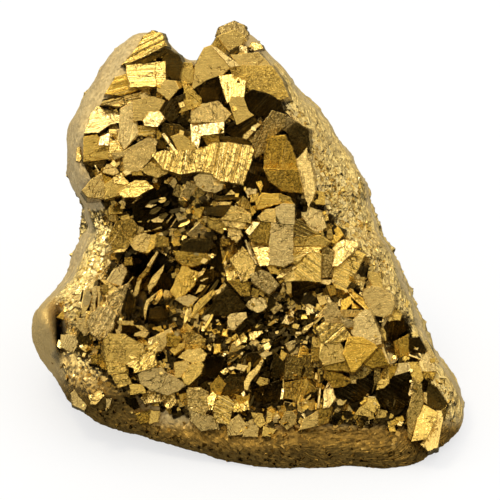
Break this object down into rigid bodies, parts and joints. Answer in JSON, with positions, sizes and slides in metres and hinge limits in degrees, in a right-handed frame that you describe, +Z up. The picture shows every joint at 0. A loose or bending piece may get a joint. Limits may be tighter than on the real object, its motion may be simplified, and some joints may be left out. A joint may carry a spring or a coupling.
{
  "type": "gold mineral specimen",
  "caption": "Palm-sized cluster of blocky brassy-gold crystals on its own lump of rock, leaning back and flat underneath.",
  "frame": {"origin": "centre of the footprint of the bounding box, on the flat base", "axes": "+Z up, -Y the front, where the crystals are, +X to the right seen from the front"},
  "size_m": [0.0616, 0.0447, 0.0525],
  "materials": {
    "gold": "bright brassy crystal faces, striated and chipped, with duller grainy rock around them"
  },
  "bodies": {
    "root": {"specimen": "gold"}
  },
  "joints": []
}
